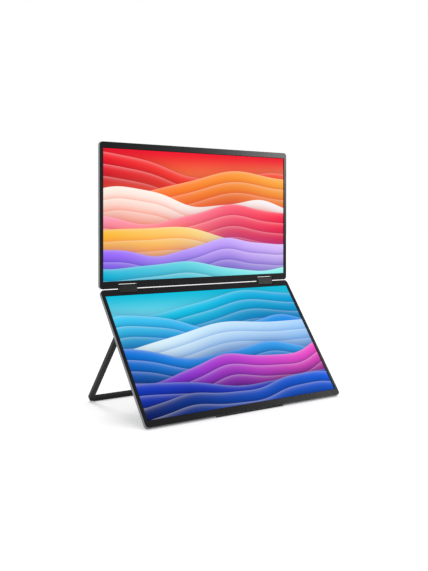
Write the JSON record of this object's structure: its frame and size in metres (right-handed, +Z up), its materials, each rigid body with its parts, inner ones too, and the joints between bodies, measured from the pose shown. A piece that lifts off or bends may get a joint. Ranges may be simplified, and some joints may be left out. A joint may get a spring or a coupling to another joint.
{
  "type": "dual portable monitor",
  "caption": "Stacked portable monitor: two hinged flat displays, the lower one leaning back on a folding U-shaped stand, with two-axis friction hinges and side sockets.",
  "frame": {"origin": "on the floor under the middle of the open, standing object", "axes": "+Z up, +X to the right as the screens are seen, -Y towards the viewer"},
  "size_m": [0.3558, 0.2036, 0.3904],
  "materials": {
    "cover_metal": "fine blasted, dark grey anodised",
    "bezel_plastic": "fine satin texture, black",
    "screen_glass": "anti-glare screen face, lit",
    "tray_metal": "bare sheet",
    "guide_acrylic": "clear acrylic",
    "led_strip": "white strip with pale yellow light sources",
    "circuit_board": "green solder mask",
    "hinge_steel": "turned and stamped steel",
    "screw_steel": "black zinc",
    "hinge_paint": "satin black paint",
    "clip_steel": "hardened spring strip",
    "housing_plastic": "fine spark texture, black",
    "socket_metal": "plated shell",
    "button_plastic": "smooth satin, black",
    "stand_paint": "satin black powder coat",
    "foot_rubber": "matt black"
  },
  "bodies": {
    "lower_display": {"lower_rear_cover": "cover_metal", "lower_bezel": "bezel_plastic", "lower_lcd_cell": "screen_glass", "lower_backlight_tray": "tray_metal", "lower_light_guide": "guide_acrylic", "lower_led_strip": "led_strip", "lower_driver_board": "circuit_board", "lower_hinge_brackets": "hinge_steel", "lower_bracket_screws": "screw_steel", "lower_hinge_shafts": "hinge_steel", "foot_strip": "foot_rubber", "electronics_housing": "housing_plastic", "housing_screws": "screw_steel", "main_board": "circuit_board", "usb_c_sockets": "socket_metal", "hdmi_socket": "socket_metal", "button_board": "circuit_board", "stand_pins": "hinge_steel", "stand_washers": "hinge_steel"},
    "hinge_link": {"left_hinge_housing": "hinge_paint", "right_hinge_housing": "hinge_paint", "hinge_end_caps": "hinge_paint", "hinge_friction_clips": "clip_steel"},
    "upper_display": {"upper_rear_cover": "cover_metal", "upper_bezel": "bezel_plastic", "upper_lcd_cell": "screen_glass", "upper_backlight_tray": "tray_metal", "upper_light_guide": "guide_acrylic", "upper_led_strip": "led_strip", "upper_driver_board": "circuit_board", "upper_hinge_brackets": "hinge_steel", "upper_bracket_screws": "screw_steel", "upper_hinge_shafts": "hinge_steel"},
    "stand": {"stand_frame": "stand_paint", "stand_foot_strip": "foot_rubber"},
    "power_button": {"power_button": "button_plastic"},
    "menu_rocker": {"menu_rocker": "button_plastic"}
  },
  "joints": [
    {"name": "hinge_lower", "type": "hinge", "parent": "lower_display", "child": "hinge_link", "pos_m": [0, 0.02614, 0.17104], "axis": [1, 0, 0], "range_deg": [-63.25, 71.75]},
    {"name": "hinge_upper", "type": "hinge", "parent": "hinge_link", "child": "upper_display", "pos_m": [0, 0.02901, 0.17973], "axis": [1, 0, 0], "range_deg": [-63.25, 71.75]},
    {"name": "stand_swing", "type": "hinge", "parent": "lower_display", "child": "stand", "pos_m": [0, 0.001, 0.12495], "axis": [1, 0, 0], "range_deg": [-75, 0]},
    {"name": "power_press", "type": "slide", "parent": "lower_display", "child": "power_button", "axis": [1, 0, 0], "range_m": [0, 0.0004], "stiffness_N_per_m": 3000},
    {"name": "rocker_tilt", "type": "hinge", "parent": "lower_display", "child": "menu_rocker", "pos_m": [-0.1472, 0.0116, 0.14012], "axis": [0, -0.8039, 0.5948], "range_deg": [-3, 3], "stiffness_Nm_per_rad": 0.2}
  ]
}
